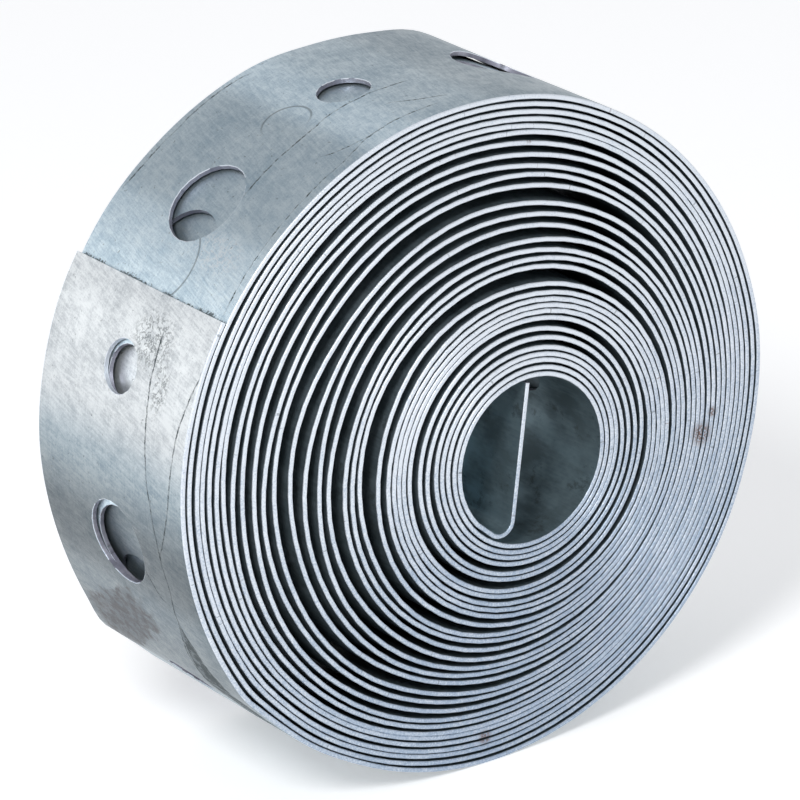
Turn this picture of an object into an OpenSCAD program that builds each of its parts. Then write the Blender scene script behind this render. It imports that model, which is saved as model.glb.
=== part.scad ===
// Perforated steel hanger strap: one strip of galvanised steel, wound up and standing on its rim.
// The coil is one solid: its turns stand apart from both ends down to a band half way across
// the strip, where they run together.

/* [Strap] */
// Width of the strip
strap_w = 19.05; // [12:0.05:40]
// Thickness of the strip
strap_t = 0.35; // [0.3:0.01:0.8]

/* [Holes] */
// Diameter of the large holes, for a bolt
bolt_hole_d = 6.6; // [4:0.1:9]
// Diameter of the small holes, for a nail or a screw
nail_hole_d = 4; // [2:0.1:6]
// Distance along the strip from one hole to the next, large and small taking turns
hole_pitch = 13.4; // [12:0.01:20]
// Distance along the strip from its outer end to the first hole, a small one
first_hole = 6.03; // [5:0.01:12]

/* [Coil] */
// Outside diameter of the coil
coil_d = 51.9; // [45:0.1:80]
// Full turns of the strip
turns = 31; // [20:1:35]
// Gap under the outermost turn, all the way round
outer_gap = 0.24; // [0.22:0.01:0.3]
// Least gap between the other turns, on the tight side of the coil
tight_gap = 0.05; // [0.04:0.01:0.1]
// How far the gaps on the loose side are open, from hardly to fully
looseness = 1; // [0.4:0.05:1.05]
// Direction of the outer end, and of the loose side, seen from the front
outer_end_angle = 147; // [0:1:359]
// Width of the band half way across the strip in which the turns run together
joined_w = 2; // [1:0.1:12]

/* [Inner tail] */
// Outside radius of the bend where the inner end leaves the last turn
tail_bend_r = 1.3; // [0.9:0.05:2]
// Angle through which that bend turns
tail_bend_angle = 114; // [95:1:125]
// Clearance between the straight inner end and the turn that it points at
tail_clearance = 0.3; // [0.1:0.05:3]

/* [Hidden] */
$fn = 96;
zinc = [0.70, 0.73, 0.75];
quarters = 4 * turns + 1;
// Turns at the outside that bound the gap under the outermost one
under_outer = 2;
// Gap after each turn on the loose side, from the outside in: a snug rim, a slack middle with
// two wide gaps, a snug band, a looser one and a snug core. The last gap repeats.
loose_gaps = [
    0.24, 0.24, 0.12, 0.32, 0.20, 0.08, 0.58, 0.48, 0.75, 0.75, 0.50,
    1.35, 0.70, 0.65, 0.70, 0.90, 0.42, 0.38, 1.18, 0.58, 0.24,
    0.06, 0.10, 0.06, 0.60, 0.36, 0.44, 0.20, 0.15, 0.18, 0.22
];
// What the gap after each turn has over the least one on the tight side: the turns nearly
// touch from the rim to the middle, and stand further apart round the core
tight_extras = [
    0, 0, 0.01, 0, 0.09, 0, 0, 0, 0, 0, 0.05,
    0, 0.01, 0.01, 0.01, 0.10, 0, 0.09, 0, 0, 0.01,
    0.03, 0.23, 0.23, 0.20, 0.20, 0.17, 0.04, 0.04, 0.04, 0.04
];
hole_reach = 4 * strap_t;
facet_angle = 6;

function to_micron(v) = round(v * 1000) / 1000;

// Direction of the joint between quarter turn k - 1 and quarter turn k
function joint_dir(k) = [[1, 0], [0, 1], [-1, 0], [0, -1]][k % 4];

// Pitch from one turn to the next, on the loose side and on the tight side
function pitch(turn) =
    let (i = min(turn, len(loose_gaps) - 1))
    turn < under_outer ? [strap_t + outer_gap, strap_t + outer_gap]
    : [strap_t + looseness * loose_gaps[i], strap_t + tight_gap + tight_extras[i]];

// Drop in radius at joint k. The centre moves towards the joint by as much, so that the turns
// stay tangent, close up on the tight side and open on the loose side.
function drop(k) =
    let (
        turn = floor(k / 4),
        both = k % 4 == 0 ? (pitch(turn - 1) + pitch(turn)) / 2 : pitch(turn),
        loose = both[0],
        tight = both[1]
    )
    to_micron([3 * tight - loose, tight + loose, 3 * loose - tight, tight + loose][k % 4] / 8);

// Outer radius and centre of every quarter turn, from the outer end inwards
arcs = [
    for (k = 0, r = to_micron(coil_d / 2), c = [0, 0]; k < quarters;
         k = k + 1, r = r - drop(k), c = c + drop(k) * joint_dir(k))
    [r, c]
];

// Reach of the rim from the first quarter turn's centre, in one direction seen from the front
function rim(direction) =
    let (a = (direction - outer_end_angle + 720) % 360, arc = arcs[floor(a / 90)])
    arc[0] + arc[1] * [cos(a), sin(a)];

// Middle of the strip all round the full turn that starts at quarter turn k
function middle_line(k) = [
    for (q = [k : k + 3], a = [0 : facet_angle : 90 - facet_angle])
    arcs[q][1] + (arcs[q][0] - strap_t / 2) * [cos(90 * q + a), sin(90 * q + a)]
];

// Inner tail, from the bore's centre: the bend's centre, and where the straight end starts
bore_r = arcs[quarters - 1][0] - strap_t;
bore_c = arcs[quarters - 1][1];
bend_c = [0, arcs[quarters - 1][0] - tail_bend_r];
tail_angle = 90 + tail_bend_angle;
tail_dir = [-sin(tail_angle), cos(tail_angle)];
tail_start = bend_c + tail_bend_r * [cos(tail_angle), sin(tail_angle)];
tail_along = tail_start * tail_dir;
tail_tip_r = bore_r - tail_clearance;
tail_len = sqrt(tail_along ^ 2 - tail_start * tail_start + tail_tip_r ^ 2) - tail_along;

// One face of the inner tail: round the bend, then straight to the tip
function tail_face(r) = concat(
    [for (a = [0 : facet_angle : tail_bend_angle]) bend_c + r * [cos(90 + a), sin(90 + a)]],
    [bend_c + r * [cos(tail_angle), sin(tail_angle)] + tail_len * tail_dir]
);

// Holes in the outermost turn
rim_r = (arcs[0][0] + arcs[4][0] - strap_t) / 2;
hole_step = hole_pitch / rim_r * 180 / PI;
first_hole_angle = first_hole / rim_r * 180 / PI;
rim_holes = 1 + floor((360 - 2 * first_hole_angle) / hole_step);

module bent_strip(r, angle) {
    rotate_extrude(angle = angle)
        translate([r - strap_t, 0])
            square([strap_t, strap_w]);
}

module quarter_turn(k) {
    translate(arcs[k][1])
        rotate([0, 0, 90 * (k % 4)])
            bent_strip(arcs[k][0], 90);
}

module rim_hole(i) {
    a = first_hole_angle + i * hole_step;
    arc = arcs[floor(a / 90)];
    translate(arc[1])
        rotate([0, 0, a])
            translate([arc[0] - hole_reach, 0, strap_w / 2])
                rotate([0, 90, 0])
                    cylinder(d = i % 2 == 0 ? nail_hole_d : bolt_hole_d, h = 2 * hole_reach);
}

module outermost_turn() {
    difference() {
        for (k = [0 : 3])
            quarter_turn(k);
        for (i = [0 : rim_holes - 1])
            rim_hole(i);
    }
}

// The band in which the turns run together, from the second turn to the last
module joined_band() {
    translate([0, 0, (strap_w - joined_w) / 2])
        linear_extrude(joined_w)
            difference() {
                polygon(middle_line(4));
                polygon(middle_line(quarters - 4));
            }
}

module inner_tail() {
    outer = tail_face(tail_bend_r);
    inner = tail_face(tail_bend_r - strap_t);
    translate(bore_c)
        linear_extrude(strap_w)
            polygon(concat(outer, [for (i = [len(inner) - 1 : -1 : 0]) inner[i]]));
}

module strap() {
    color(zinc)
        translate([(rim(180) - rim(0)) / 2, strap_w / 2, rim(270)])
            rotate([90, 0, 0])
                rotate([0, 0, outer_end_angle]) {
                    outermost_turn();
                    for (k = [4 : quarters - 1])
                        quarter_turn(k);
                    joined_band();
                    inner_tail();
                }
}

strap();
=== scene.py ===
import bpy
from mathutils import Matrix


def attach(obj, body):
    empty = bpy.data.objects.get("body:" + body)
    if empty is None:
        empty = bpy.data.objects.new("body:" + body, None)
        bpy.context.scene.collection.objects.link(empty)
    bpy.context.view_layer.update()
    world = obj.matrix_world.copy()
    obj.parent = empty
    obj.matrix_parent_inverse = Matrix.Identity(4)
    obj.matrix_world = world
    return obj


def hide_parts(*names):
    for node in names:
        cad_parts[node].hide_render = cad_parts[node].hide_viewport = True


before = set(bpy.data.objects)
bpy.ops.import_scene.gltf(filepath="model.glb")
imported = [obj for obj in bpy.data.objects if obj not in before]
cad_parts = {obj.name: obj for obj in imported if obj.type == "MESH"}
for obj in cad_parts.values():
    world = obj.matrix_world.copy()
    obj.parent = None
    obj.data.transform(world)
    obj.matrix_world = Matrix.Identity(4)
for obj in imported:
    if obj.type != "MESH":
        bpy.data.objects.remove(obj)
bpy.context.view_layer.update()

import bisect
import math

import bmesh
import bpy
from mathutils import Matrix, Vector

mm = 0.001
print("packed frame loaded:", sorted(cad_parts))


# The strap's sizes, in millimetres and degrees, as the solid has them
strap = {
    "width": 19.05,
    "thickness": 0.35,
    "boltHole": 6.6,
    "nailHole": 4.0,
    "holePitch": 13.4,
    "firstHole": 6.03,
    "coilDiameter": 51.9,
    "turns": 31,
    "outerGap": 0.24,
    "underOuter": 2,
    "tightGap": 0.05,
    "looseGaps": [
        0.24, 0.24, 0.12, 0.32, 0.20, 0.08, 0.58, 0.48, 0.75, 0.75, 0.50,
        1.35, 0.70, 0.65, 0.70, 0.90, 0.42, 0.38, 1.18, 0.58, 0.24,
        0.06, 0.10, 0.06, 0.60, 0.36, 0.44, 0.20, 0.15, 0.18, 0.22,
    ],
    "tightExtras": [
        0, 0, 0.01, 0, 0.09, 0, 0, 0, 0, 0, 0.05,
        0, 0.01, 0.01, 0.01, 0.10, 0, 0.09, 0, 0, 0.01,
        0.03, 0.23, 0.23, 0.20, 0.20, 0.17, 0.04, 0.04, 0.04, 0.04,
    ],
    "outerEndAngle": 147,
    "tailBendRadius": 1.3,
    "tailBendAngle": 114,
    "tailClearance": 0.3,
}

# How near two places have to be to count as one, in millimetres
tolerance = 0.001

# How the strip is cut into faces, and how its edges are worn
finish = {
    "holeSides": 24,
    "rimHoles": 15,        # holes at the outside that get more rings of faces and a rounded rim
    "rimRings": 3,
    "columns": 8,          # flat stretches between the middles of two neighbouring holes
    "fineColumns": 16,     # the same in the small turns round the bore
    "fineTurns": 8,
    "bendColumns": 12,
    "tailColumns": 8,
    "cutReach": 3,         # a cut across the strip takes the faces this near to it
    "cutSnap": 0.02,       # and goes through a corner that is nearer than this
    "bendSnap": 0.01,
    "weld": 0.002,
    "sharpAngle": 28,
    "rimRound": 0.07,
    "rollover": 0.12,      # the sheared edges are rounder on the outer face
    "burrRound": 0.06,     # than on the inner one
    "wallSlope": 0.1,      # height of a face's normal, up to which it is a hole's wall
    "flatSlope": 0.97,     # and from which it is the strip's flat face
    "brightTurns": 8,      # turns that show through the holes of the turns over them
    "brightBand": 5.0,     # and how far from the middle of the strip
    "firstStep": 0.17,     # how far the strip rises where it passes under its own outer end
    "endFade": 8,          # length over which it settles there
    "leanFade": 10,        # the second turn stops leaning outwards this far before its end
    "bendFade": 6,         # and the waves die away this far before the bend of the tail
    # How far the outermost turn lies out of an even winding: place along the strip, height at its back
    # edge and at its front edge
    "lie": [
        (0, 0.02, 0), (3, 0.04, 0), (8, -0.05, -0.02), (14, -0.05, -0.03), (20, -0.16, -0.08),
        (24, -0.13, -0.06), (28, 0.06, 0.0), (30.6, 0.33, 0.06), (32.3, 0.03, -0.12),
        (34.6, -0.25, -0.26), (38, -0.27, -0.28), (42.6, -0.30, -0.35), (47, -0.22, -0.22),
        (52, -0.08, -0.08), (56, 0, 0), (80, 0, 0), (87.5, -0.14, -0.14), (92, -0.10, -0.10),
        (97, 0.02, 0.02), (103, -0.05, -0.05), (119, -0.06, -0.06), (123.5, -0.02, -0.02),
        (127.4, 0.34, 0.04), (131.4, 0.03, 0), (136.5, -0.12, -0.04), (141, 0.05, 0.02),
        (146, 0, 0), (151, 0, 0.02), (157, 0.15, 0.12), (161, 0.17, 0.17),
    ],
    # How much of that the turns under it follow, from the second turn on
    "followed": [0.75, 0.5, 0.4, 0.3, 0.18, 0.1, 0],
    # The waves of the strip between its neighbours: share, length and start of each
    "waves": [(0.4, 19, 0), (0.35, 6.3, 1.1), (0.25, 3.1, 0.4)],
    "waveShare": 0.45,     # share of the gap to the next turn that the waves take
}

# Order of the materials on the piece
materialOrder = ["zincFace", "shearedEdge", "paintedShadeBetweenTurns", "boreFace", "paintedShadeHoleWall"]


def toMicron(value):
    # Radii and shifts are rounded as the solid's are
    return round(value * 1000) / 1000


def turnPitch(turn):
    # Pitch to the next turn, on the loose side and on the tight side
    gaps = Vector((strap["outerGap"], strap["outerGap"]))
    i = min(turn, len(strap["looseGaps"]) - 1)
    if turn >= strap["underOuter"]:
        gaps = Vector((strap["looseGaps"][i], strap["tightGap"] + strap["tightExtras"][i]))
    return gaps + Vector((strap["thickness"], strap["thickness"]))


def windingArcs():
    # Outer radius and centre of every quarter turn, from the outer end inwards
    towards = [(1, 0), (0, 1), (-1, 0), (0, -1)]
    radius = toMicron(strap["coilDiameter"] / 2)
    centre = Vector((0.0, 0.0))
    wound = [(radius, centre.copy())]
    for k in range(1, 4 * strap["turns"] + 1):
        turn = k // 4
        loose, tight = (turnPitch(turn - 1) + turnPitch(turn)) / 2 if k % 4 == 0 else turnPitch(turn)
        share = [3 * tight - loose, tight + loose, 3 * loose - tight, tight + loose][k % 4]
        drop = toMicron(share / 8)
        radius -= drop
        centre = centre + drop * Vector(towards[k % 4])
        wound.append((radius, centre.copy()))
    return wound


arcs = windingArcs()
half = strap["thickness"] / 2
arcStarts = [0.0]
for radius, centre in arcs:
    arcStarts.append(arcStarts[-1] + (radius - half) * math.pi / 2)
woundLength = arcStarts[-1]

lastRadius, boreCentre = arcs[-1]
bendCentre = boreCentre + Vector((0, lastRadius - strap["tailBendRadius"]))
bendAngle = math.radians(strap["tailBendAngle"])
bendLength = (strap["tailBendRadius"] - half) * bendAngle
tailAngle = math.pi / 2 + bendAngle
tailDirection = Vector((-math.sin(tailAngle), math.cos(tailAngle)))
tailOut = Vector((math.cos(tailAngle), math.sin(tailAngle)))
tailFrom = bendCentre - boreCentre + strap["tailBendRadius"] * tailOut
tailTip = lastRadius - strap["thickness"] - strap["tailClearance"]
tailAlong = tailFrom.dot(tailDirection)
tailLength = math.sqrt(tailAlong ** 2 - tailFrom.length_squared + tailTip ** 2) - tailAlong
stripLength = woundLength + bendLength + tailLength
print("strip length %.1f mm" % stripLength)


def rimReach(direction):
    # How far the rim reaches from the winding's own middle, in a direction of the standing coil
    turned = (direction - strap["outerEndAngle"]) % 360
    radius, centre = arcs[int(turned // 90)]
    turned = math.radians(turned)
    return radius + centre.dot(Vector((math.cos(turned), math.sin(turned))))


coilShift = Vector(((rimReach(180) - rimReach(0)) / 2, rimReach(270)))
standing = Matrix.Rotation(math.radians(strap["outerEndAngle"]), 2)
boreInPlane = standing @ boreCentre + coilShift
boreMiddle = Vector((boreInPlane.x, 0, boreInPlane.y)) * mm
coilMiddle = Vector((coilShift.x, 0, coilShift.y)) * mm


def roomBeside(k, out):
    # Gaps between quarter turn k and its outer and inner neighbours, in the direction out
    gaps = []
    for outer, inner in ((k - 4, k), (k, k + 4)):
        apart = strap["thickness"]
        if 0 <= outer and inner < len(arcs):
            apart = arcs[outer][0] - arcs[inner][0] + (arcs[outer][1] - arcs[inner][1]).dot(out)
        gaps.append(apart - strap["thickness"])
    return gaps


def wave(along):
    # The uneven lie of the hand-wound strip, from -1, against the next turn in, to 1
    return sum(share * math.sin(along / length + start) for share, length, start in finish["waves"])


def upTo(value, width):
    # Rises from 0 to 1 as value goes from 0 to width
    return min(1, max(0, value / width))


def lieAt(along, across):
    # Height of the outermost turn's lie: a smooth curve through its points
    points = finish["lie"]
    i = min(max(bisect.bisect(points, (along,)) - 1, 0), len(points) - 2)
    places = []
    for step in (-1, 0, 1, 2):
        place, back, front = points[min(max(i + step, 0), len(points) - 1)]
        places.append((place, front + (back - front) * (across / strap["width"] + 0.5)))
    (xA, yA), (xB, yB), (xC, yC), (xD, yD) = places
    width = xC - xB
    slopeB = (yC - yA) / (xC - xA) * width
    slopeC = (yD - yB) / (xD - xB) * width
    t = (along - xB) / width
    start = (2 * t ** 3 - 3 * t ** 2 + 1) * yB + (t ** 3 - 2 * t ** 2 + t) * slopeB
    return start + (3 * t ** 2 - 2 * t ** 3) * yC + (t ** 3 - t ** 2) * slopeC


def liftOf(along, across, k, angle):
    # How far the strip lies out of its even winding
    if k < 4:
        return lieAt(along, across)
    out = Vector((math.cos(angle), math.sin(angle)))
    outside, inside = roomBeside(k, out)
    share = wave(along)
    share += (1 - share) / 2 * upTo(arcStarts[8] - along, finish["leanFade"])
    settled = upTo(along - arcStarts[4], finish["endFade"])
    fade = settled * upTo(woundLength - along, finish["bendFade"])
    lift = finish["waveShare"] * fade * share * (outside if share > 0 else inside)
    lift += finish["firstStep"] * (1 - settled)
    turn = k / 4 + (angle - k % 4 * math.pi / 2) / (2 * math.pi) - 1
    if turn < len(finish["followed"]) - 1:
        start, end = finish["followed"][int(turn):int(turn) + 2]
        above = arcStarts[k % 4] + (angle - k % 4 * math.pi / 2) * (arcs[k % 4][0] - half)
        ends = upTo(above, finish["endFade"]) * upTo(arcStarts[4] - above, finish["endFade"])
        lift += (start + (end - start) * (turn % 1)) * ends * lieAt(above, across)
    return lift


def woundPoint(along, across, height, k):
    # A point of the flat strip, taken to its place in the standing coil
    if k < len(arcs):
        radius, centre = arcs[k]
        angle = k % 4 * math.pi / 2 + (along - arcStarts[k]) / (radius - half)
        out = Vector((math.cos(angle), math.sin(angle)))
        place = centre + (radius - half + height + liftOf(along, across, k, angle)) * out
    elif along < woundLength + bendLength:
        angle = math.pi / 2 + (along - woundLength) / (strap["tailBendRadius"] - half)
        reach = strap["tailBendRadius"] - half + height
        place = bendCentre + reach * Vector((math.cos(angle), math.sin(angle)))
    else:
        rest = along - woundLength - bendLength
        reach = strap["tailBendRadius"] - half + height
        place = bendCentre + reach * tailOut + rest * tailDirection
    standingPlace = standing @ place + coilShift
    return Vector((standingPlace.x, across, standingPlace.y)) * mm


def flatPiece(holeDiameter, rings, columns):
    # One hole of the flat strip with the metal round it, half way to its neighbours
    reach = strap["holePitch"] / 2
    edge = strap["width"] / 2
    bm = bmesh.new()
    bmesh.ops.create_circle(bm, segments=finish["holeSides"], radius=holeDiameter / 2)
    ring = bm.edges[:]
    for step in range(1, rings + 1):
        grown = bmesh.ops.extrude_edge_only(bm, edges=ring)["geom"]
        ringVerts = [g for g in grown if isinstance(g, bmesh.types.BMVert)]
        ring = [e for e in grown if isinstance(e, bmesh.types.BMEdge) and e.is_boundary]
        for v in ringVerts:
            out = v.co.normalized()
            onSquare = out * reach / max(abs(out.x), abs(out.y))
            v.co = (out * holeDiameter / 2).lerp(onSquare, step / rings)
    for side in (-1, 1):
        sideEdges = [e for e in bm.edges if all(abs(v.co.y - side * reach) < tolerance for v in e.verts)]
        grown = bmesh.ops.extrude_edge_only(bm, edges=sideEdges)["geom"]
        for v in [g for g in grown if isinstance(g, bmesh.types.BMVert)]:
            v.co.y = side * edge
    columnWidth = strap["holePitch"] / columns
    for column in range(1, columns):
        bmesh.ops.bisect_plane(bm, geom=bm.verts[:] + bm.edges[:] + bm.faces[:], dist=finish["cutSnap"],
                               plane_co=(column * columnWidth - reach, 0, 0), plane_no=(1, 0, 0))
    bmesh.ops.translate(bm, verts=bm.verts[:], vec=(0, 0, half))
    grown = bmesh.ops.extrude_face_region(bm, geom=bm.faces[:], use_keep_orig=True)["geom"]
    under = [g for g in grown if isinstance(g, bmesh.types.BMVert)]
    bmesh.ops.translate(bm, verts=under, vec=(0, 0, -2 * half))
    bmesh.ops.recalc_face_normals(bm, faces=bm.faces[:])
    joints = [f for f in bm.faces if all(abs(abs(v.co.x) - reach) < tolerance for v in f.verts)]
    bmesh.ops.delete(bm, geom=joints, context="FACES")
    mesh = bpy.data.meshes.new("strapPiece")
    bm.to_mesh(mesh)
    bm.free()
    return mesh


def edgesAt(bm, test):
    return [e for e in bm.edges if all(test(v.co) for v in e.verts)]


def extendEnd(bm, end, length, columns):
    # Carries the open end of the strip on, in short columns
    edges = [e for e in bm.edges if e.is_boundary and all(abs(v.co.x - end) < tolerance for v in e.verts)]
    for column in range(1, columns + 1):
        grown = bmesh.ops.extrude_edge_only(bm, edges=edges)["geom"]
        for v in [g for g in grown if isinstance(g, bmesh.types.BMVert)]:
            v.co.x = end + length * column / columns
        edges = [e for e in grown if isinstance(e, bmesh.types.BMEdge) and e.is_boundary]
    bmesh.ops.edgeloop_fill(bm, edges=edges)


def flatStrip():
    # The whole strip lying flat, with all its holes: x along it, y across it, z up from its middle
    pitch = strap["holePitch"]
    holes = int((stripLength - strap["firstHole"]) / pitch)
    fineFrom = arcStarts[4 * (strap["turns"] - finish["fineTurns"])]
    kinds = {}
    bm = bmesh.new()
    for i in range(holes):
        middle = strap["firstHole"] + i * pitch
        diameter = strap["boltHole"] if i % 2 else strap["nailHole"]
        rings = finish["rimRings"] if i < finish["rimHoles"] else 1
        fine = i < finish["rimHoles"] or middle > fineFrom
        columns = finish["fineColumns" if fine else "columns"]
        kind = (diameter, rings, columns)
        if kind not in kinds:
            kinds[kind] = flatPiece(*kind)
        before = len(bm.verts)
        bm.from_mesh(kinds[kind])
        bm.verts.ensure_lookup_table()
        bmesh.ops.translate(bm, verts=bm.verts[before:], vec=(middle, 0, 0))
    for mesh in kinds.values():
        bpy.data.meshes.remove(mesh)
    bmesh.ops.remove_doubles(bm, verts=bm.verts[:], dist=finish["weld"])
    outerEdges = [e for e in bm.edges if e.is_boundary and all(v.co.x < 0 for v in e.verts)]
    for v in {v for e in outerEdges for v in e.verts}:
        v.co.x = 0
    bmesh.ops.edgeloop_fill(bm, edges=outerEdges)
    holesEnd = strap["firstHole"] + (holes - 1) * pitch + pitch / 2
    extendEnd(bm, holesEnd, stripLength - holesEnd, finish["tailColumns"])
    for column in range(finish["bendColumns"] + 1):
        at = woundLength + bendLength * column / finish["bendColumns"]
        near = [f for f in bm.faces if any(abs(v.co.x - at) < finish["cutReach"] for v in f.verts)]
        geometry = near + list({e for f in near for e in f.edges})
        geometry += list({v for f in near for v in f.verts})
        bmesh.ops.bisect_plane(bm, geom=geometry, dist=finish["bendSnap"], plane_co=(at, 0, 0),
                               plane_no=(1, 0, 0))
    bmesh.ops.recalc_face_normals(bm, faces=bm.faces[:])
    return bm


def roundEdges(bm):
    # Rounds the sheared edges all along, and the rims of the holes that show
    edge = strap["width"] / 2
    corners = edgesAt(bm, lambda co: max(abs(abs(co.y) - edge), abs(abs(co.z) - half)) < tolerance)
    longEdges = [e for e in corners if abs(e.verts[0].co.x - e.verts[1].co.x) > tolerance]
    for side, size, segments in ((1, "rollover", 3), (-1, "burrRound", 1)):
        sharp = [e for e in longEdges if e.is_valid and e.verts[0].co.z * side > 0]
        bmesh.ops.bevel(bm, geom=sharp, offset=finish[size], segments=segments, profile=0.5,
                        affect="EDGES", material=-1, clamp_overlap=True)
    rims = []
    for i in range(finish["rimHoles"]):
        middle = Vector((strap["firstHole"] + i * strap["holePitch"], 0))
        radius = (strap["boltHole"] if i % 2 else strap["nailHole"]) / 2
        rims += edgesAt(bm, lambda co: co.z > 0 and abs((co.xy - middle).length - radius) < 10 * tolerance)
    bmesh.ops.bevel(bm, geom=rims, offset=finish["rimRound"], segments=2, profile=0.5,
                    affect="EDGES", material=-1, clamp_overlap=True)


def materialFor(face):
    # Which material a face of the flat strip has
    middle = face.calc_center_median()
    slope = abs(face.normal.z)
    onEdge = abs(middle.y) > strap["width"] / 2 - finish["rollover"]
    if onEdge or finish["wallSlope"] < slope < finish["flatSlope"]:
        return "shearedEdge"
    if slope <= finish["wallSlope"] and 10 * tolerance < middle.x:
        return "paintedShadeHoleWall"
    # Zinc seen only in the gaps between turns, away from the holes, and the inner faces get the dark
    # material as painted shade
    bright = middle.x < arcStarts[4] + finish["endFade"] or abs(middle.y) < finish["brightBand"]
    isInnerFace = face.normal.z < -0.5
    if bright and middle.x < arcStarts[4 * finish["brightTurns"]] and not isInnerFace:
        return "zincFace"
    inBore = middle.x > arcStarts[-5]
    return "boreFace" if inBore else "paintedShadeBetweenTurns"


def windStrip():
    bm = flatStrip()
    roundEdges(bm)
    layer = bm.loops.layers.uv.new("alongAndAcross")
    bm.faces.ensure_lookup_table()
    for face in bm.faces:
        face.smooth = True
        face.material_index = materialOrder.index(materialFor(face))
        for loop in face.loops:
            loop[layer].uv = loop.vert.co.xy
    k = 0
    for v in sorted(bm.verts, key=lambda vert: vert.co.x):
        while k < len(arcs) and v.co.x > arcStarts[k + 1]:
            k += 1
        v.co = woundPoint(v.co.x, v.co.y, v.co.z, k)
    mesh = bpy.data.meshes.new("hangerStrap")
    bm.to_mesh(mesh)
    bm.free()
    mesh.set_sharp_from_angle(angle=math.radians(finish["sharpAngle"]))
    piece = bpy.data.objects.new("hangerStrap", mesh)
    bpy.context.scene.collection.objects.link(piece)
    return piece


piece = windStrip()
triangles = sum(len(p.vertices) - 2 for p in piece.data.polygons)
print("strap wound:", triangles, "triangles")


# Materials: every finish reads the strip's own coordinates, millimetres along and across it

# The noises: grain per millimetre along and across the strip, seed, detail and roughness
grains = {
    "rolled": (5.0, 0.6, 3.1, 4.0, 0.65),        # fine lines across the strip
    "drawn": (0.5, 4.5, 7.7, 3.0, 0.6),          # fainter ones along it
    "cloudy": (0.22, 0.2, 1.3, 4.0, 0.6),
    "mottled": (1.5, 1.1, 5.2, 5.0, 0.7),
    "grainy": (7.0, 6.0, 2.9, 2.0, 0.6),
    "specks": (3.2, 2.6, 9.4, 3.0, 0.6),
    "uneven": (0.55, 0.5, 8.1, 4.0, 0.65),       # bends outlines and scratches
    "crackle": (1.3, 1.3, 4.1, 3.0, 0.7),
    "dotted": (2.2, 2.2, 2.2, 3.0, 0.6),
    "edgePatches": (0.35, 0.1, 4.4, 3.0, 0.6),
    "edgeSpecks": (2.6, 2.6, 5.9, 3.0, 0.7),
    "edgeRust": (0.9, 0.3, 8.8, 4.0, 0.6),
    "smears": (0.35, 0.22, 6.1, 4.0, 0.6),
    "oilLines": (4.0, 0.5, 2.8, 3.0, 0.6),
    "smudges": (0.5, 0.4, 3.7, 5.0, 0.75),
}

# What each finish's tone is made of
toneShares = {
    "zincFace": {"drawn": 0.18, "rolled": 0.5, "cloudy": 0.4, "mottled": 0.48, "grainy": 0.3},
    # The edges' side share is painted light: lighter towards one side of the coil
    "shearedEdge": {"edgePatches": 0.5, "grain": 0.9, "side": 0.5},
    "darkFace": {"oilLines": 0.2, "smears": 0.85},
}

# Where each effect begins and where it is full, on the value that it follows
steps = {
    "bright": (0.66, 1.2),
    "freshAndLitBright": (0.72, 1.06),
    "freshAndLitEnd": (9.0, 14.0),           # millimetres from the outer end
    "litEndWalls": (8.0, 12.0),
    "litUnderFirstHole": (4.0, 6.0),      # millimetres from the middle of the first hole
    "toneAndPaintedShadeBelow": (230.0, 231.0),     # between the outermost turn and what shows through its holes
    "specks": (0.66, 0.74),
    "stain": (2.4, 3.4),
    "stainMottling": (0.38, 0.6),
    "rubbedStart": (24.0, 26.0),
    "rubbedEnd": (35.0, 39.0),
    "rubbedEdge": (0.0, 0.2),
    "rubbedMottling": (0.4, 0.52),
    "crackle": (0.015, 0.045),
    "dotted": (0.42, 0.62),
    "gloss": (0.5, 1.3),
    "spot": (0.1, 1.0),                # shares of a patch's reach, squared
    "paintedLitSide": (-1.0, 0.9),
    "edgeBright": (0.50, 1.25),
    "edgeSpecks": (0.66, 0.72),
    "edgeRust": (0.70, 0.76),
    "rustGrain": (0.35, 0.55),
    "dark": (0.38, 0.68),
    "smudges": (0.56, 0.66),
    "boreLitSide": (0.0, 0.9),
    "darkGloss": (0.4, 0.7),
}


def newMaterial(name):
    material = bpy.data.materials.new(name)
    material.use_nodes = True
    return material, material.node_tree, material.node_tree.nodes["Principled BSDF"]


def plug(tree, socket, value):
    # A node's output is linked, anything else is set as the socket's own value
    if isinstance(value, bpy.types.NodeSocket):
        tree.links.new(value, socket)
    else:
        socket.default_value = value


def calc(tree, operation, *values):
    node = tree.nodes.new("ShaderNodeMath")
    node.operation = operation
    for i, value in enumerate(values):
        plug(tree, node.inputs[i], value)
    return node.outputs[0]


def between(tree, value, low, high, toLow=0.0, toHigh=1.0):
    # Smooth step from toLow to toHigh as the value goes from low to high
    node = tree.nodes.new("ShaderNodeMapRange")
    node.interpolation_type = "SMOOTHSTEP"
    for socket, v in zip(node.inputs, (value, low, high, toLow, toHigh)):
        plug(tree, socket, v)
    return node.outputs[0]


def mixed(tree, share, first, second, blend="MIX"):
    node = tree.nodes.new("ShaderNodeMix")
    node.data_type = "RGBA"
    node.blend_type = blend
    for socket, value in zip((node.inputs[0], node.inputs[6], node.inputs[7]), (share, first, second)):
        plug(tree, socket, value)
    return node.outputs[2]


def stripPlace(tree):
    # Distance along the strip from its outer end, and across it from its middle
    uv = tree.nodes.new("ShaderNodeUVMap")
    uv.uv_map = "alongAndAcross"
    parts = tree.nodes.new("ShaderNodeSeparateXYZ")
    tree.links.new(uv.outputs[0], parts.inputs[0])
    return parts.outputs[0], parts.outputs[1]


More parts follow.
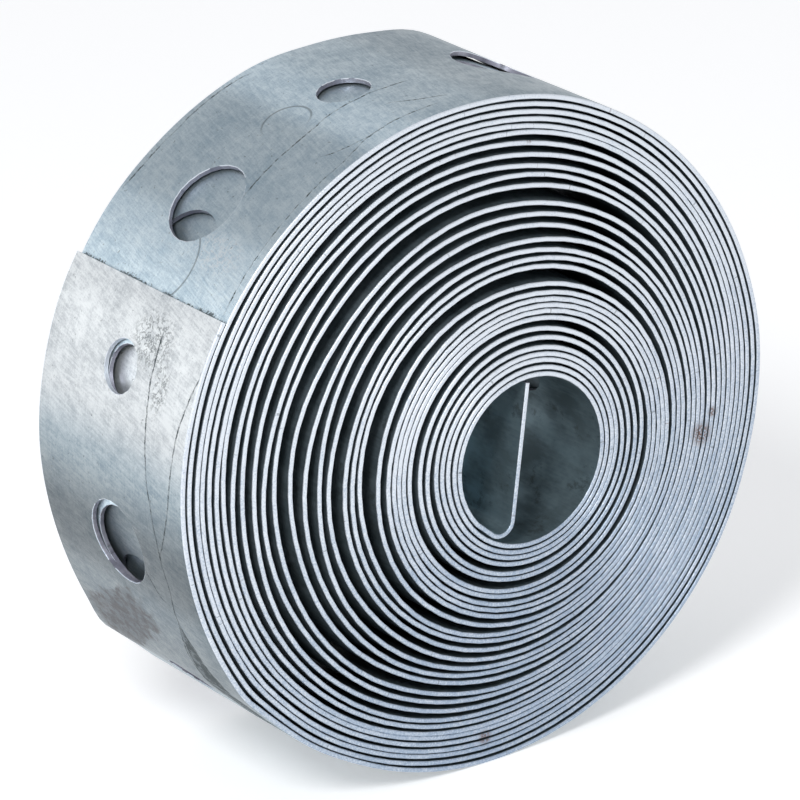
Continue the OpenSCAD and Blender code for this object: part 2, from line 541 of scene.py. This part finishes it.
def noiseOn(tree, along, across, name):
    # Noise whose grain differs along and across the strip
    perMmAlong, perMmAcross, seed, detail, roughness = grains[name]
    place = tree.nodes.new("ShaderNodeCombineXYZ")
    plug(tree, place.inputs[0], calc(tree, "MULTIPLY", along, perMmAlong))
    plug(tree, place.inputs[1], calc(tree, "MULTIPLY", across, perMmAcross))
    place.inputs[2].default_value = seed
    node = tree.nodes.new("ShaderNodeTexNoise")
    tree.links.new(place.outputs[0], node.inputs["Vector"])
    node.inputs["Scale"].default_value = 1.0
    node.inputs["Detail"].default_value = detail
    node.inputs["Roughness"].default_value = roughness
    return node.outputs["Fac"]


def toneOf(tree, finishName, values):
    # The values added up by their shares in the finish
    tone = None
    for name, share in toneShares[finishName].items():
        if tone is None:
            tone = calc(tree, "MULTIPLY", values[name], share)
        else:
            tone = calc(tree, "MULTIPLY_ADD", values[name], share, tone)
    return tone


def tinted(tree, colour, tint, mask, strength=1.0):
    # The colour, covered by the tint where the mask is 1
    if strength < 1:
        mask = calc(tree, "MULTIPLY", mask, strength)
    return mixed(tree, mask, colour, tint)


def shifted(tree, value, noise, reach):
    # The value, moved by the noise up to half of reach either way
    return calc(tree, "MULTIPLY_ADD", calc(tree, "SUBTRACT", noise, 0.5), reach, value)


def curveThrough(tree, along, points):
    # A smooth curve through the points, as a function of the place along the strip
    firstAlong, lastAlong = points[0][0], points[-1][0]
    low = min(point[1] for point in points) - 0.01
    high = max(point[1] for point in points) + 0.01
    share = tree.nodes.new("ShaderNodeMapRange")
    for socket, value in zip(share.inputs, (along, firstAlong, lastAlong, 0.0, 1.0)):
        plug(tree, socket, value)
    node = tree.nodes.new("ShaderNodeFloatCurve")
    tree.links.new(share.outputs[0], node.inputs["Value"])
    curve = node.mapping.curves[0]
    for i, (x, y) in enumerate(points):
        spot = ((x - firstAlong) / (lastAlong - firstAlong), (y - low) / (high - low))
        if i in (0, len(points) - 1):
            curve.points[0 if i == 0 else -1].location = spot
        else:
            curve.points.new(*spot)
    node.mapping.update()
    return calc(tree, "MULTIPLY_ADD", node.outputs[0], high - low, low)


def scratchMask(tree, along, across, points, width, fade=0.6):
    # 1 on a scratch through the points, 0 away from it
    apart = calc(tree, "ABSOLUTE", calc(tree, "SUBTRACT", across, curveThrough(tree, along, points)))
    mask = between(tree, apart, width / 2, width, 1.0, 0.0)
    starts = between(tree, along, points[0][0] - fade, points[0][0] + fade)
    ends = between(tree, along, points[-1][0] - fade, points[-1][0] + fade, 1.0, 0.0)
    return calc(tree, "MULTIPLY", mask, calc(tree, "MULTIPLY", starts, ends))


def ringMask(tree, along, across, middle, radius, width, facing):
    # Part of a ring pressed through from the hole below: 1 on its line where it turns towards facing
    dx = calc(tree, "SUBTRACT", along, middle[0])
    dy = calc(tree, "SUBTRACT", across, middle[1])
    reach = calc(tree, "SQRT", calc(tree, "MULTIPLY_ADD", dx, dx, calc(tree, "MULTIPLY", dy, dy)))
    apart = calc(tree, "ABSOLUTE", calc(tree, "SUBTRACT", reach, radius))
    line = between(tree, apart, width * 0.4, width, 1.0, 0.0)
    side = calc(tree, "MULTIPLY_ADD", dx, facing[0], calc(tree, "MULTIPLY", dy, facing[1]))
    return calc(tree, "MULTIPLY", line, between(tree, side, -0.6 * radius, 0.3 * radius))


def spotMask(tree, along, across, middle, reachAlong, reachAcross):
    # A soft patch, 1 at its middle
    dx = calc(tree, "DIVIDE", calc(tree, "SUBTRACT", along, middle[0]), reachAlong)
    dy = calc(tree, "DIVIDE", calc(tree, "SUBTRACT", across, middle[1]), reachAcross)
    reach = calc(tree, "MULTIPLY_ADD", dx, dx, calc(tree, "MULTIPLY", dy, dy))
    return between(tree, reach, *steps["spot"], 1.0, 0.0)


def insideOutline(tree, along, across, outline):
    # How far inside the outline a place lies, in millimetres
    depths = []
    for (x, y), (nextX, nextY) in zip(outline, outline[1:] + outline[:1]):
        inwards = Vector((y - nextY, nextX - x)).normalized()
        depth = calc(tree, "MULTIPLY_ADD", along, inwards.x, -inwards.dot(Vector((x, y))))
        depths.append(calc(tree, "MULTIPLY_ADD", across, inwards.y, depth))
    least = depths[0]
    for depth in depths[1:]:
        least = calc(tree, "MINIMUM", least, depth)
    return least


def bumped(tree, shader, height, distance):
    bump = tree.nodes.new("ShaderNodeBump")
    bump.inputs["Distance"].default_value = distance * mm
    plug(tree, bump.inputs["Height"], height)
    tree.links.new(bump.outputs[0], shader.inputs["Normal"])


# Marks on the outer face: places in millimetres along and across the strip
marks = {
    "scratchWidth": 0.1,
    "scratchWander": (0.35, 0.12),       # in long bends and in short ones
    "scratches": [
        [(4.3, -9.37), (6.8, -8.66), (9.1, -8.22), (12.95, -7.89), (14.7, -7.6), (16.2, -7.12),
         (17.7, -6.35), (19.1, -5.87), (21.2, -6.0), (24.4, -5.55), (26.9, -6.16), (28.1, -6.24),
         (29.7, -6.88), (34, -8.0)],
        [(2.4, -3.75), (5.3, -3.9), (7.6, -4.17), (10.1, -4.48), (12.95, -5.0), (17.0, -5.71),
         (19.1, -5.87)],
        [(24.4, -5.54), (26.3, -4.85), (28.5, -4.3), (30.2, -4.4), (33.9, -3.71), (40, -3.0)],
        [(20.6, -3.1), (21.4, -3.54), (22.6, -4.28), (22.9, -5.12)],
        [(137.5, -7.64), (142.6, -7.75), (145.0, -8.21), (146.5, -8.52), (155.0, -8.66), (159.9, -8.75)],
        [(143.2, -7.79), (145.5, -7.02), (146.7, -6.06)],
        [(136.2, -2.2), (141.8, -2.3), (143.7, -2.5), (145.6, -2.78), (149.0, -2.88), (152.0, -3.07)],
        [(135.9, -6.64), (138.1, -5.77), (139.3, -4.9)],
        [(142.6, 8.7), (146, 8.95), (150, 8.8), (155, 9.1)],
    ],
    # A rubbed band between two of them
    "rubbed": ([(24.4, -5.5), (26.3, -4.9), (28.5, -4.4), (31.0, -4.3), (37.0, -3.6)],
               [(24.4, -5.6), (26.9, -6.2), (28.1, -6.3), (29.7, -6.9), (37.0, -8.6)]),
    # Rings pressed through from the holes below: middle, radius, and the side on which they show
    "prints": [
        ((145.1, 0.2), 1.9, (-0.7, 0.7)),
        ((158.4, 0.0), 3.1, (0.2, -1.0)),
        ((33.1, 0.0), 2.0, (0.0, 1.0)),
    ],
    "printWidth": 0.12,
    # Outline of the stain, anticlockwise, and how far it is eaten away; its dark colour is partly the stain
    # and partly painted shade of a dark reflection
    "stain": [(27.3, 9.0), (23.8, 2.6), (23.8, -1.2), (26.7, -1.55), (32.8, 5.45), (32.8, 9.5)],
    "stainRagged": 5.0,
    # Patches of short scratches: middle, reach along and across, lighter or darker
    "scuffs": [
        ((156.4, -4.6), 2.0, 3.6, "freshAndLit"),
        ((3.3, -2.9), 2.6, 3.0, "mark"),
        ((6.2, -5.2), 2.4, 1.2, "mark"),
    ],
    # A ragged dark line where the outermost turn ends on the next one: grime, and a painted shadow of the
    # outer end
    "endGrimeAndShadow": (160.45, 161.4),
    "endGrimeAndShadowRagged": (1.2, 1.0),         # in long bends and in short ones
    "endGrimeAndShadowSoft": (0.15, 0.3),          # how softly it starts and ends
    # Rust on the edges: places in the standing coil, and how far each spot reaches
    "rustSpots": [
        ((20.1, -9.5, 21.0), 1.3),
        ((21.2, -9.5, 22.5), 0.6),
        ((-0.4, -9.5, 2.1), 0.8),
        ((5.0, -9.5, 47.5), 0.35),
    ],
    # How bright the outermost turn is along its length: partly the zinc's own tone, partly painted
    # reflection and painted shade
    "toneAndPaintedReflection": [
        (0, 0.93), (3, 0.84), (7, 0.84), (10, 0.8), (12, 0.73), (14, 0.6), (17, 0.36), (20, 0.25),
        (23, 0.32), (25, 0.40), (29, 0.36), (33, 0.52), (37, 0.7), (42, 0.6), (60, 0.6), (120, 0.63),
        (130, 0.63), (135, 0.85), (138, 0.92), (140, 1.04), (143, 1.2), (146, 0.88), (149, 0.9),
        (151, 0.9), (154, 0.95), (156.5, 1.22), (161, 1.25),
    ],
    # The same on the turns under it that show through its holes, where the dips are painted shade inside
    # the holes
    "toneAndPaintedShadeBelow": [
        (300, 0.95), (318, 0.95), (321, 1.05), (327, 1.0), (330, 0.8), (333, 0.42), (343, 0.4),
        (350, 0.9),
    ],
}

# Colours of the zinc, and what else its finishes are adjusted by
zinc = {
    "bright": (0.72, 0.82, 0.865, 1),
    "dull": (0.36, 0.47, 0.55, 1),
    "freshAndLit": (0.88, 0.92, 0.94, 1),
    "freshAndLitDull": (0.58, 0.62, 0.65, 1),
    "stained": (0.10, 0.098, 0.105, 1),
    "mark": (0.06, 0.075, 0.08, 1),
    # Painted shade: the dark faces in the gaps between turns
    "inner": (0.20, 0.25, 0.28, 1),
    "innerDark": (0.08, 0.11, 0.125, 1),
    "bore": (0.26, 0.35, 0.39, 1),
    "boreDark": (0.13, 0.18, 0.20, 1),
    # Painted shade: the dark walls of the holes
    "wall": (0.42, 0.42, 0.48, 1),
    "wallDark": (0.20, 0.20, 0.25, 1),
    "litEndWall": (0.66, 0.70, 0.76, 1),
    "edgeBright": (0.77, 0.82, 0.88, 1),
    "edgeDull": (0.32, 0.41, 0.53, 1),
    "paintedLitSide": 100,       # direction from the bore, in degrees, towards which the edges are painted lighter as painted light
    "boreLitSide": 190,         # the bore's face is painted paler this way, as painted light
    "boreLitGain": 2.0,
    "rust": (0.13, 0.06, 0.04, 1),
    "rollSlant": 0.25,       # how far the lines across the strip lean along it
    "edgeGrain": 6500,       # per metre
    "faceBump": 0.02,        # depths of the bumps, in millimetres
    "edgeBump": 0.03,
    "darkBump": 0.015,
}


def rubbedMask(tree, along, across, noises):
    # 1 between the two lines of the rubbed band, thinner where the zinc is mottled
    upper, lower = [curveThrough(tree, along, points) for points in marks["rubbed"]]
    below = between(tree, calc(tree, "SUBTRACT", upper, across), *steps["rubbedEdge"])
    above = between(tree, calc(tree, "SUBTRACT", across, lower), *steps["rubbedEdge"])
    starts = between(tree, along, *steps["rubbedStart"])
    ends = between(tree, along, *steps["rubbedEnd"], 1.0, 0.0)
    stretch = calc(tree, "MULTIPLY", starts, ends)
    band = calc(tree, "MULTIPLY", stretch, calc(tree, "MULTIPLY", below, above))
    mottling = between(tree, noises["mottled"], *steps["rubbedMottling"], 0.35, 0.9)
    return calc(tree, "MULTIPLY", band, mottling)


def stainMask(tree, along, across, noises):
    inside = insideOutline(tree, along, across, marks["stain"])
    inside = calc(tree, "MULTIPLY_ADD", noises["uneven"], marks["stainRagged"], inside)
    mottling = between(tree, noises["mottled"], *steps["stainMottling"], 0.35, 1.0)
    return calc(tree, "MULTIPLY", between(tree, inside, *steps["stain"]), mottling)


def endGrimeAndShadowMask(tree, along, noises):
    lineFrom, lineTo = marks["endGrimeAndShadow"]
    longBends, shortBends = marks["endGrimeAndShadowRagged"]
    softStart, softEnd = marks["endGrimeAndShadowSoft"]
    ragged = shifted(tree, along, noises["grainy"], shortBends)
    ragged = shifted(tree, ragged, noises["uneven"], longBends)
    starts = between(tree, ragged, lineFrom, lineFrom + softStart)
    ends = between(tree, along, lineTo, lineTo + softEnd, 1.0, 0.0)
    return calc(tree, "MULTIPLY", starts, ends)


def scratchMasks(tree, along, across, noises):
    longBends, shortBends = marks["scratchWander"]
    wander = shifted(tree, across, noises["uneven"], longBends)
    wander = shifted(tree, wander, noises["grainy"], shortBends)
    strength = between(tree, noiseOn(tree, along, across, "dotted"), *steps["dotted"], 0.35, 1.0)
    masks = []
    for points in marks["scratches"]:
        line = scratchMask(tree, along, wander, points, marks["scratchWidth"])
        masks.append(calc(tree, "MULTIPLY", line, strength))
    return masks


def scuffMasks(tree, along, across):
    # Each patch's mask with the name of its colour
    crackle = calc(tree, "SUBTRACT", noiseOn(tree, along, across, "crackle"), 0.5)
    crackle = between(tree, calc(tree, "ABSOLUTE", crackle), *steps["crackle"], 1.0, 0.0)
    masks = []
    for middle, reachAlong, reachAcross, shade in marks["scuffs"]:
        patch = spotMask(tree, along, across, middle, reachAlong, reachAcross)
        masks.append((calc(tree, "MULTIPLY", patch, crackle), shade))
    return masks


def zincColour(tree, along, tone):
    # The zinc itself: near white at the outer end, partly fresh zinc and partly a painted highlight, and
    # painted light where the first hole shows a lower turn in its shade
    colour = mixed(tree, between(tree, tone, *steps["bright"]), zinc["dull"], zinc["bright"])
    freshAndLit = mixed(tree, between(tree, tone, *steps["freshAndLitBright"]), zinc["freshAndLitDull"], zinc["freshAndLit"])
    colour = mixed(tree, between(tree, along, *steps["freshAndLitEnd"], 1.0, 0.0), colour, freshAndLit)
    # Painted light on the lower turn that shows in the shade of the first hole
    firstHoleBelow = calc(tree, "SUBTRACT", along, arcStarts[8] + strap["firstHole"])
    apart = calc(tree, "ABSOLUTE", firstHoleBelow)
    colour = mixed(tree, between(tree, apart, *steps["litUnderFirstHole"], 1.0, 0.0), colour, freshAndLit)
    # Painted reflection and shade along the turns, with some of the zinc's own tone
    outermost, below = [curveThrough(tree, along, marks[name]) for name in ("toneAndPaintedReflection", "toneAndPaintedShadeBelow")]
    toneAndPaintedReflection = mixed(tree, between(tree, along, *steps["toneAndPaintedShadeBelow"]), outermost, below)
    return mixed(tree, 1.0, colour, toneAndPaintedReflection, "MULTIPLY")


def zincFace():
    material, tree, shader = newMaterial("zincFace")
    along, across = stripPlace(tree)
    names = ("drawn", "cloudy", "mottled", "grainy", "uneven")
    noises = {name: noiseOn(tree, along, across, name) for name in names}
    slanted = calc(tree, "MULTIPLY_ADD", across, zinc["rollSlant"], along)
    noises["rolled"] = noiseOn(tree, slanted, across, "rolled")
    tone = toneOf(tree, "zincFace", noises)
    colour = zincColour(tree, along, tone)
    specks = between(tree, noiseOn(tree, along, across, "specks"), *steps["specks"])
    colour = tinted(tree, colour, zinc["mark"], specks, strength=0.55)
    # The stain, darkened further as painted shade of a dark reflection
    stain = stainMask(tree, along, across, noises)
    colour = tinted(tree, colour, zinc["stained"], stain, strength=0.9)
    rubbed = rubbedMask(tree, along, across, noises)
    colour = tinted(tree, colour, zinc["mark"], rubbed)
    dull = calc(tree, "MAXIMUM", rubbed, calc(tree, "MULTIPLY", stain, 0.5))
    for scuffed, shade in scuffMasks(tree, along, across):
        colour = tinted(tree, colour, zinc[shade], scuffed, strength=0.6)
    # Painted shadow of the outer end, with grime
    endGrimeAndShadow = endGrimeAndShadowMask(tree, along, noises)
    colour = tinted(tree, colour, zinc["mark"], endGrimeAndShadow, strength=0.9)
    dull = calc(tree, "MAXIMUM", dull, endGrimeAndShadow)
    depth = noises["rolled"]
    for scratch in scratchMasks(tree, along, across, noises):
        colour = tinted(tree, colour, zinc["mark"], scratch)
        dull = calc(tree, "MAXIMUM", dull, scratch)
        depth = calc(tree, "SUBTRACT", depth, scratch)
    for middle, radius, facing in marks["prints"]:
        printed = ringMask(tree, along, across, middle, radius, marks["printWidth"], facing)
        colour = tinted(tree, colour, zinc["mark"], printed, strength=0.5)
        depth = calc(tree, "SUBTRACT", depth, printed)
    # Dark marks shine less than the zinc round them
    plug(tree, shader.inputs["Base Color"], colour)
    plug(tree, shader.inputs["Metallic"], calc(tree, "MULTIPLY_ADD", dull, -0.8, 0.85))
    plug(tree, shader.inputs["Specular IOR Level"], calc(tree, "MULTIPLY_ADD", dull, -0.4, 0.5))
    roughness = between(tree, tone, *steps["gloss"], 0.5, 0.3)
    plug(tree, shader.inputs["Roughness"], calc(tree, "MULTIPLY_ADD", dull, 0.3, roughness))
    bumped(tree, shader, depth, zinc["faceBump"])
    return material


def onSide(tree, angle):
    # 1 straight from the bore at the angle, in degrees, and -1 straight against it
    spot = tree.nodes.new("ShaderNodeTexCoord")
    fromBore = tree.nodes.new("ShaderNodeVectorMath")
    fromBore.operation = "SUBTRACT"
    tree.links.new(spot.outputs["Object"], fromBore.inputs[0])
    fromBore.inputs[1].default_value = boreMiddle
    outwards = tree.nodes.new("ShaderNodeVectorMath")
    outwards.operation = "NORMALIZE"
    tree.links.new(fromBore.outputs[0], outwards.inputs[0])
    towards = tree.nodes.new("ShaderNodeVectorMath")
    towards.operation = "DOT_PRODUCT"
    tree.links.new(outwards.outputs[0], towards.inputs[0])
    turned = math.radians(angle)
    towards.inputs[1].default_value = (math.cos(turned), 0, math.sin(turned))
    return towards.outputs["Value"]


def rustSpotted(tree, colour, spot, grain):
    for place, reach in marks["rustSpots"]:
        near = tree.nodes.new("ShaderNodeVectorMath")
        near.operation = "DISTANCE"
        tree.links.new(spot, near.inputs[0])
        near.inputs[1].default_value = Vector(place) * mm
        rusted = between(tree, near.outputs["Value"], reach * 0.2 * mm, reach * mm, 0.9, 0.0)
        rusted = calc(tree, "MULTIPLY", rusted, between(tree, grain, *steps["rustGrain"]))
        colour = tinted(tree, colour, zinc["rust"], rusted)
    return colour


def shearedEdge():
    # The edges are painted lighter towards one side of the coil and duller towards the other, as painted
    # light and shade
    material, tree, shader = newMaterial("shearedEdge")
    along, across = stripPlace(tree)
    spot = tree.nodes.new("ShaderNodeTexCoord").outputs["Object"]
    grain = tree.nodes.new("ShaderNodeTexNoise")
    tree.links.new(spot, grain.inputs["Vector"])
    grain.inputs["Scale"].default_value = zinc["edgeGrain"]
    grain.inputs["Detail"].default_value = 2.0
    parts = {
        "grain": grain.outputs["Fac"],
        "edgePatches": noiseOn(tree, along, across, "edgePatches"),
        # Painted light: the edges lighter towards one side of the coil
        "side": between(tree, onSide(tree, zinc["paintedLitSide"]), *steps["paintedLitSide"]),
    }
    tone = toneOf(tree, "shearedEdge", parts)
    colour = mixed(tree, between(tree, tone, *steps["edgeBright"]), zinc["edgeDull"], zinc["edgeBright"])
    specks = between(tree, noiseOn(tree, along, across, "edgeSpecks"), *steps["edgeSpecks"])
    colour = tinted(tree, colour, zinc["mark"], specks, strength=0.5)
    rusty = between(tree, noiseOn(tree, along, across, "edgeRust"), *steps["edgeRust"])
    colour = tinted(tree, colour, zinc["rust"], rusty, strength=0.6)
    colour = rustSpotted(tree, colour, spot, parts["grain"])
    plug(tree, shader.inputs["Base Color"], colour)
    shader.inputs["Metallic"].default_value = 0.5
    shader.inputs["Roughness"].default_value = 0.45
    bumped(tree, shader, parts["grain"], zinc["edgeBump"])
    return material


def litWallsAtEnd(tree, along, colour):
    # The walls of the first hole are painted as light as the face round it, with less painted shade than
    # the other walls
    nearEnd = between(tree, along, *steps["litEndWalls"], 1.0, 0.0)
    return mixed(tree, nearEnd, colour, zinc["litEndWall"])


def boreLitToOneSide(tree, along, colour):
    # Painted light: the bore's face up to twice as bright towards one side
    boreLitGain = between(tree, onSide(tree, zinc["boreLitSide"]), *steps["boreLitSide"], 1.0, zinc["boreLitGain"])
    shade = tree.nodes.new("ShaderNodeCombineXYZ")
    for socket in shade.inputs:
        tree.links.new(boreLitGain, socket)
    return mixed(tree, 1.0, colour, shade.outputs[0], "MULTIPLY")


def darkFace(name, pale, dark, metallic, shade=None):
    # A face streaked with old oil and dust on a dark base; between the turns and on the hole walls that
    # dark base is painted shade, and its own function changes it further
    material, tree, shader = newMaterial(name)
    along, across = stripPlace(tree)
    noises = {noise: noiseOn(tree, along, across, noise) for noise in ("smears", "oilLines")}
    tone = toneOf(tree, "darkFace", noises)
    colour = mixed(tree, between(tree, tone, *steps["dark"]), dark, pale)
    smudges = between(tree, noiseOn(tree, along, across, "smudges"), *steps["smudges"])
    colour = tinted(tree, colour, zinc["mark"], smudges, strength=0.55)
    if shade:
        colour = shade(tree, along, colour)
    plug(tree, shader.inputs["Base Color"], colour)
    shader.inputs["Metallic"].default_value = metallic
    plug(tree, shader.inputs["Roughness"], between(tree, tone, *steps["darkGloss"], 0.55, 0.36))
    bumped(tree, shader, noises["oilLines"], zinc["darkBump"])
    return material


materials = [
    zincFace(),
    shearedEdge(),
    # Painted shade in the gaps between turns
    darkFace("paintedShadeBetweenTurns", zinc["inner"], zinc["innerDark"], 0.7),
    darkFace("boreFace", zinc["bore"], zinc["boreDark"], 0.8, boreLitToOneSide),
    # Painted shade on the walls of the holes
    darkFace("paintedShadeHoleWall", zinc["wall"], zinc["wallDark"], 0.7, litWallsAtEnd),
]
for material in sorted(materials, key=lambda made: materialOrder.index(made.name)):
    piece.data.materials.append(material)
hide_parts("strap")
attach(piece, "root")
print("materials set")


# Floor, light and camera
studio = {
    "floorSize": 3.0,
    "floorShade": 0.92,
    "floorGlow": 0.31,       # added where the camera, metal or glass sees the floor
    "ceiling": (0.50, 0.51, 0.53),
    "horizon": (0.85, 0.86, 0.88),
    # Bright and dark parts of the room: direction, cosines where each begins and is full, and its colour
    "roomParts": [
        ((-0.64, 0.767, 0.06), 0.86, 0.965, (1.5, 1.5, 1.5)),
        ((-0.27, 0.767, 0.58), 0.87, 0.975, (0.42, 0.43, 0.45)),
    ],
    "keyPlace": (-0.27, -0.20, 0.32),
    "keySize": 0.12,
    "keyPower": 1.1,
}

view = {
    "azimuth": -34.35,
    "elevation": 21.53,
    "roll": -1.98,
    "distance": 15.945,      # in coil radii, as are the two shifts
    "aside": -0.0184,
    "above": -0.0019,
    "lens": 252.8505,        # millimetres, with the sensor's width
    "sensor": 36.0,
}


def makeFloor():
    bm = bmesh.new()
    bmesh.ops.create_grid(bm, x_segments=1, y_segments=1, size=studio["floorSize"] / 2)
    mesh = bpy.data.meshes.new("floor")
    bm.to_mesh(mesh)
    bm.free()
    floor = bpy.data.objects.new("floor", mesh)
    bpy.context.scene.collection.objects.link(floor)
    material, tree, shader = newMaterial("paleFloor")
    shader.inputs["Base Color"].default_value = (*[studio["floorShade"]] * 3, 1)
    shader.inputs["Roughness"].default_value = 0.9
    rays = tree.nodes.new("ShaderNodeLightPath")
    seen = calc(tree, "ADD", rays.outputs["Is Camera Ray"], rays.outputs["Is Glossy Ray"])
    seen = calc(tree, "ADD", seen, rays.outputs["Is Transmission Ray"])
    shader.inputs["Emission Color"].default_value = (1, 1, 1, 1)
    plug(tree, shader.inputs["Emission Strength"], calc(tree, "MULTIPLY", seen, studio["floorGlow"]))
    mesh.materials.append(material)


def makeWorld():
    world = bpy.data.worlds.new("studioWorld")
    world.use_nodes = True
    tree = world.node_tree
    place = tree.nodes.new("ShaderNodeTexCoord")
    parts = tree.nodes.new("ShaderNodeSeparateXYZ")
    tree.links.new(place.outputs["Generated"], parts.inputs[0])
    height = calc(tree, "ABSOLUTE", parts.outputs[2])
    colour = mixed(tree, between(tree, height, 0.05, 0.6), (*studio["horizon"], 1), (*studio["ceiling"], 1))
    for direction, begins, full, shade in studio["roomParts"]:
        towards = tree.nodes.new("ShaderNodeVectorMath")
        towards.operation = "DOT_PRODUCT"
        tree.links.new(place.outputs["Generated"], towards.inputs[0])
        towards.inputs[1].default_value = Vector(direction).normalized()
        share = between(tree, towards.outputs["Value"], begins, full)
        colour = mixed(tree, share, colour, (*shade, 1))
    plug(tree, tree.nodes["Background"].inputs["Color"], colour)
    bpy.context.scene.world = world


def makeKeyLight():
    data = bpy.data.lights.new("keyLight", "AREA")
    data.shape = "DISK"
    data.size = studio["keySize"]
    data.energy = studio["keyPower"]
    light = bpy.data.objects.new("keyLight", data)
    light.location = studio["keyPlace"]
    towards = coilMiddle - light.location
    light.rotation_euler = towards.to_track_quat("-Z", "Y").to_euler()
    bpy.context.scene.collection.objects.link(light)


def makeCamera():
    azimuth = math.radians(view["azimuth"])
    elevation = math.radians(view["elevation"])
    roll = math.radians(view["roll"])
    radius = strap["coilDiameter"] / 2 * mm
    back = Vector((math.sin(azimuth) * math.cos(elevation), -math.cos(azimuth) * math.cos(elevation),
                   math.sin(elevation)))
    right = Vector((math.cos(azimuth), math.sin(azimuth), 0))
    up = back.cross(right)
    turnedRight = math.cos(roll) * right + math.sin(roll) * up
    turnedUp = -math.sin(roll) * right + math.cos(roll) * up
    place = coilMiddle + radius * (view["distance"] * back + view["aside"] * right + view["above"] * up)
    data = bpy.data.cameras.new("camera")
    data.sensor_width = view["sensor"]
    data.lens = view["lens"]
    camera = bpy.data.objects.new("camera", data)
    rows = [[turnedRight[i], turnedUp[i], back[i], place[i]] for i in range(3)] + [[0, 0, 0, 1]]
    camera.matrix_world = Matrix(rows)
    bpy.context.scene.collection.objects.link(camera)
    bpy.context.scene.camera = camera


makeFloor()
makeWorld()
makeKeyLight()
makeCamera()
bpy.context.scene.view_settings.view_transform = "Standard"
print("floor, light and camera set")
